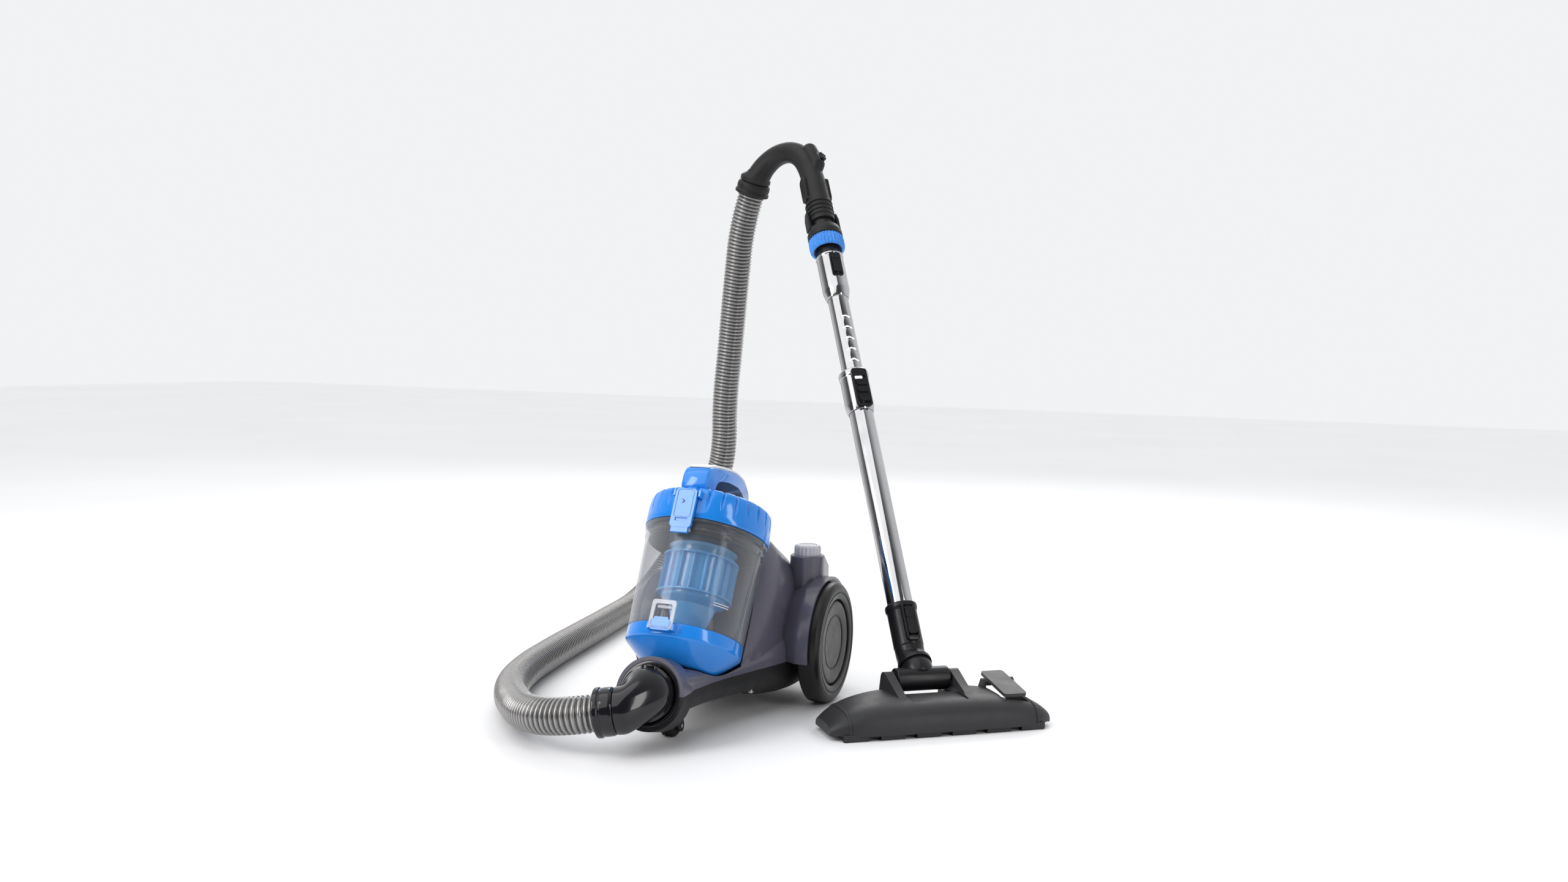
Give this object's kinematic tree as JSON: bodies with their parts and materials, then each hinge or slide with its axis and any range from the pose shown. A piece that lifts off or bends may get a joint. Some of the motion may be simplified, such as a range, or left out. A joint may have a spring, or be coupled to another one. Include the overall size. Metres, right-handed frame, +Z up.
{
  "type": "canister vacuum cleaner",
  "caption": "Canister vacuum cleaner with a lift-out cyclone dust cup, corrugated hose, telescopic wand and wheeled floor head.",
  "frame": {"origin": "middle of the footprint of everything but the hose, on the floor", "axes": "+Z up, the canister's nose towards -Y and its wheel axis along X, the wand and floor head on the +X side"},
  "size_m": [0.7874, 0.8838, 0.8003],
  "materials": {
    "slate_plastic": "satin moulded",
    "black_plastic": "satin moulded",
    "tyre_plastic": "satin",
    "blue_plastic": "polished",
    "clear_plastic": "smoked clear",
    "pale_plastic": "satin",
    "chrome_tube": "polished",
    "steel": "turned",
    "hose_grey": "metallic grey ribs",
    "seal_rubber": "soft",
    "filter_white": "pleated paper",
    "copper_winding": "varnished",
    "bristle": "nylon tufts"
  },
  "bodies": {
    "canister": {"lower_housing": "black_plastic", "upper_housing": "slate_plastic", "inlet_collar": "black_plastic", "inlet_duct": "black_plastic", "motor_bucket": "pale_plastic", "motor_stator": "steel", "exhaust_frame": "black_plastic", "exhaust_pleats": "filter_white", "cord_outlet": "black_plastic", "power_switch": "black_plastic", "housing_screws": "steel", "wheel_axles": "steel", "hose": "hose_grey", "hose_connector": "black_plastic", "handle_shell": "black_plastic", "wand_socket": "chrome_tube", "upper_tube": "chrome_tube"},
    "rotor": {"motor_rotor": "copper_winding", "impeller": "steel"},
    "exhaust_door": {"exhaust_cover": "slate_plastic"},
    "reel": {"cord_drum": "black_plastic"},
    "reel_brake": {"brake_lever": "pale_plastic"},
    "power_key": {"power_button": "pale_plastic"},
    "rewind_key": {"rewind_button": "pale_plastic"},
    "left_drive": {"left_wheel": "tyre_plastic", "left_hubcap": "tyre_plastic"},
    "right_drive": {"right_wheel": "tyre_plastic", "right_hubcap": "tyre_plastic"},
    "caster": {"caster_fork": "black_plastic", "caster_axle": "steel"},
    "caster_roller": {"caster_wheel": "tyre_plastic"},
    "dust_cup": {"cup_body": "clear_plastic", "cyclone_shroud": "blue_plastic", "filter_frame": "black_plastic", "filter_pleats": "filter_white", "lid_seal": "seal_rubber"},
    "lid": {"cup_lid": "blue_plastic", "handle_skin": "pale_plastic"},
    "lid_catch": {"lid_latch": "blue_plastic"},
    "door": {"bottom_door": "blue_plastic"},
    "door_catch": {"door_latch": "blue_plastic"},
    "connector_key": {"connector_button": "black_plastic"},
    "front_swivel": {"front_cuff": "black_plastic"},
    "handle_swivel": {"handle_cuff": "black_plastic"},
    "air_control": {"air_slide": "black_plastic"},
    "brush": {"brush_collar": "black_plastic", "brush_bristles": "bristle"},
    "socket_key": {"socket_button": "black_plastic"},
    "lower_wand": {"lower_tube": "chrome_tube", "telescope_collar": "chrome_tube", "neck_connector": "black_plastic", "elbow": "black_plastic"},
    "telescope_key": {"telescope_button": "black_plastic"},
    "neck_key": {"neck_button": "black_plastic"},
    "swivel_neck": {"yoke": "black_plastic"},
    "floor_head": {"head_shell": "black_plastic", "head_sole": "black_plastic"},
    "pedal": {"head_pedal": "black_plastic"},
    "brush_strip_pair": {"brush_strips": "bristle"},
    "roller_pair": {"head_rollers": "pale_plastic"}
  },
  "joints": [
    {"name": "rotor_spin", "type": "hinge", "parent": "canister", "child": "rotor", "pos_m": [-0.1054, -0.0298, 0.112], "axis": [1, 0, 0], "continuous": true},
    {"name": "exhaust_cover_hinge", "type": "hinge", "parent": "canister", "child": "exhaust_door", "pos_m": [-0.1054, 0.0542, 0.0785], "axis": [-1, 0, 0], "range_deg": [0, 60]},
    {"name": "drum_spin", "type": "hinge", "parent": "canister", "child": "reel", "pos_m": [-0.1054, -0.0858, 0.042], "axis": [0, 0, 1], "continuous": true},
    {"name": "brake_hinge", "type": "hinge", "parent": "canister", "child": "reel_brake", "pos_m": [-0.1634, -0.0538, 0.05], "axis": [1, 0, 0], "range_deg": [-6, 0]},
    {"name": "power_press", "type": "slide", "parent": "canister", "child": "power_key", "axis": [0, 0, -1], "range_m": [0, 0.004], "stiffness_N_per_m": 400},
    {"name": "rewind_press", "type": "slide", "parent": "canister", "child": "rewind_key", "axis": [0, 0, -1], "range_m": [0, 0.005], "stiffness_N_per_m": 400},
    {"name": "left_wheel_spin", "type": "hinge", "parent": "canister", "child": "left_drive", "pos_m": [-0.2224, -0.0298, 0.08], "axis": [1, 0, 0], "continuous": true},
    {"name": "right_wheel_spin", "type": "hinge", "parent": "canister", "child": "right_drive", "pos_m": [0.0116, -0.0298, 0.08], "axis": [1, 0, 0], "continuous": true},
    {"name": "caster_swivel", "type": "hinge", "parent": "canister", "child": "caster", "pos_m": [-0.1054, -0.2778, 0.03], "axis": [0, 0, 1], "continuous": true},
    {"name": "caster_spin", "type": "hinge", "parent": "caster", "child": "caster_roller", "pos_m": [-0.1054, -0.2658, 0.014], "axis": [1, 0, 0], "continuous": true},
    {"name": "cup_lift", "type": "slide", "parent": "canister", "child": "dust_cup", "axis": [0, 0.454, 0.891], "range_m": [0, 0.15]},
    {"name": "lid_hinge", "type": "hinge", "parent": "dust_cup", "child": "lid", "pos_m": [-0.1054, -0.07854, 0.22358], "axis": [-1, 0, 0], "range_deg": [0, 65]},
    {"name": "lid_latch_hinge", "type": "hinge", "parent": "lid", "child": "lid_catch", "pos_m": [-0.1054, -0.22785, 0.29068], "axis": [-1, 0, 0], "range_deg": [0, 25]},
    {"name": "door_hinge", "type": "hinge", "parent": "dust_cup", "child": "door", "pos_m": [-0.1054, -0.1631, 0.0775], "axis": [1, 0, 0], "range_deg": [0, 15]},
    {"name": "door_latch_hinge", "type": "hinge", "parent": "door", "child": "door_catch", "pos_m": [-0.1054, -0.29809, 0.1396], "axis": [1, 0, 0], "range_deg": [0, 25]},
    {"name": "connector_press", "type": "slide", "parent": "canister", "child": "connector_key", "axis": [0, -0.2588, -0.9659], "range_m": [0, 0.0015], "stiffness_N_per_m": 400},
    {"name": "front_cuff_turn", "type": "hinge", "parent": "canister", "child": "front_swivel", "pos_m": [-0.1434, -0.3708, 0.05], "axis": [-0.9517, -0.2665, -0.1523], "continuous": true},
    {"name": "handle_cuff_turn", "type": "hinge", "parent": "canister", "child": "handle_swivel", "pos_m": [-0.2704, 0.3742, 0.725], "axis": [0.3276, -0.1513, 0.9326], "continuous": true},
    {"name": "air_slide_move", "type": "slide", "parent": "canister", "child": "air_control", "axis": [-0.3425, 0.4384, 0.831], "range_m": [0, 0.007]},
    {"name": "brush_slide", "type": "slide", "parent": "canister", "child": "brush", "axis": [0.3425, -0.4384, -0.831], "range_m": [0, 0.01]},
    {"name": "socket_press", "type": "slide", "parent": "canister", "child": "socket_key", "axis": [-0.5116, 0.6548, -0.5563], "range_m": [0, 0.0015], "stiffness_N_per_m": 400},
    {"name": "telescope", "type": "slide", "parent": "canister", "child": "lower_wand", "axis": [0.3425, -0.4384, -0.831], "range_m": [0, 0.17]},
    {"name": "telescope_press", "type": "slide", "parent": "lower_wand", "child": "telescope_key", "axis": [-0.3425, 0.4384, 0.831], "range_m": [0, 0.006], "stiffness_N_per_m": 400},
    {"name": "neck_press", "type": "slide", "parent": "lower_wand", "child": "neck_key", "axis": [-0.5116, 0.6548, -0.5563], "range_m": [0, 0.0015], "stiffness_N_per_m": 400},
    {"name": "head_swivel", "type": "hinge", "parent": "lower_wand", "child": "swivel_neck", "pos_m": [0.1496, -0.0588, 0.051], "axis": [-0.5104, 0.6533, 0.5592], "range_deg": [-60, 60]},
    {"name": "head_tilt", "type": "hinge", "parent": "swivel_neck", "child": "floor_head", "pos_m": [0.1496, -0.0588, 0.051], "axis": [0.788, 0.6157, 0], "range_deg": [-25, 35]},
    {"name": "pedal_rock", "type": "hinge", "parent": "floor_head", "child": "pedal", "pos_m": [0.157, -0.0683, 0.045], "axis": [0.788, 0.6157, 0], "range_deg": [0, 8]},
    {"name": "brush_drop", "type": "slide", "parent": "floor_head", "child": "brush_strip_pair", "axis": [0, 0, -1], "range_m": [0, 0.002]},
    {"name": "roller_spin", "type": "hinge", "parent": "floor_head", "child": "roller_pair", "pos_m": [0.1459, -0.0541, 0.009], "axis": [0.788, 0.6157, 0], "continuous": true}
  ],
  "couplings": [
    {"joint": "brake_hinge", "follows": "rewind_press", "rad_per_m": -20},
    {"joint": "door_hinge", "follows": "cup_lift", "rad_per_m": 1.74},
    {"joint": "brush_drop", "follows": "pedal_rock", "m_per_rad": 0.0143}
  ]
}
